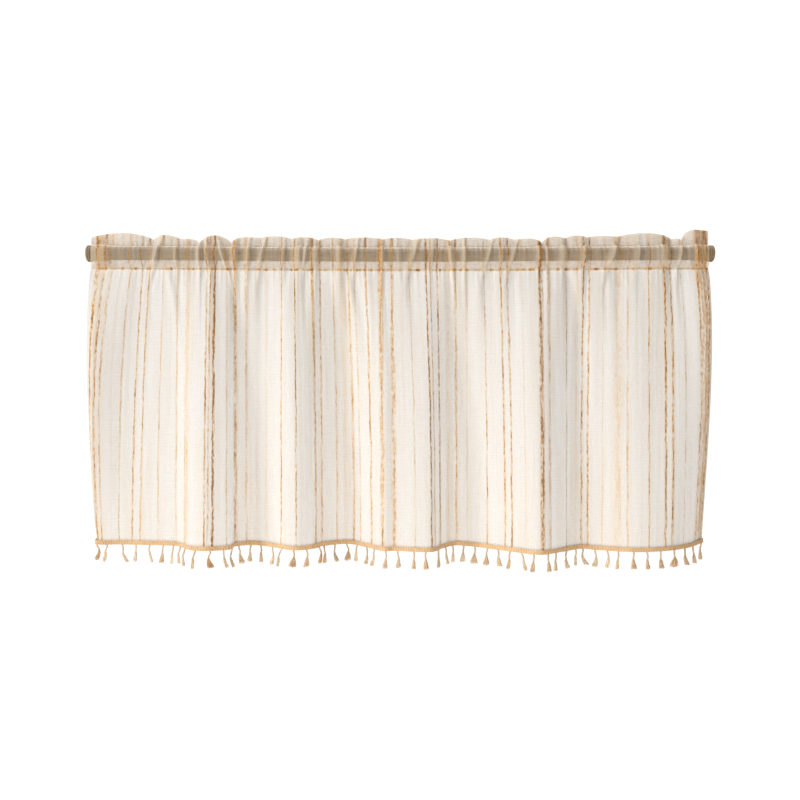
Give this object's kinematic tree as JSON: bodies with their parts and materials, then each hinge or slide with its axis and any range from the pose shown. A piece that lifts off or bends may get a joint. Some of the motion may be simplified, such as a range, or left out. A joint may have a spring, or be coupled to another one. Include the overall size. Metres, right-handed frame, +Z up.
{
  "type": "gathered short curtain on a curtain rod",
  "caption": "Short sheer curtain gathered on a round rod through a pocket, with a ruffle above it and a tasselled braid along the hem.",
  "frame": {"origin": "centre of the rod's left end face, as seen from the front", "axes": "+X along the rod from its left end to its right end, +Y to the back, away from the side that is looked at, +Z up"},
  "size_m": [0.862, 0.0684, 0.4627],
  "materials": {
    "voile": "sheer open plain weave with slubby tan stripes",
    "braid": "ribbed cotton braid with soft thread tassels",
    "rod": "satin taupe enamel",
    "cap": "matt dark taupe"
  },
  "bodies": {
    "root": {"curtain": "voile", "tassel_trim": "braid", "rod_tube": "rod", "rod_cap_left": "cap", "rod_cap_right": "cap"}
  },
  "joints": []
}
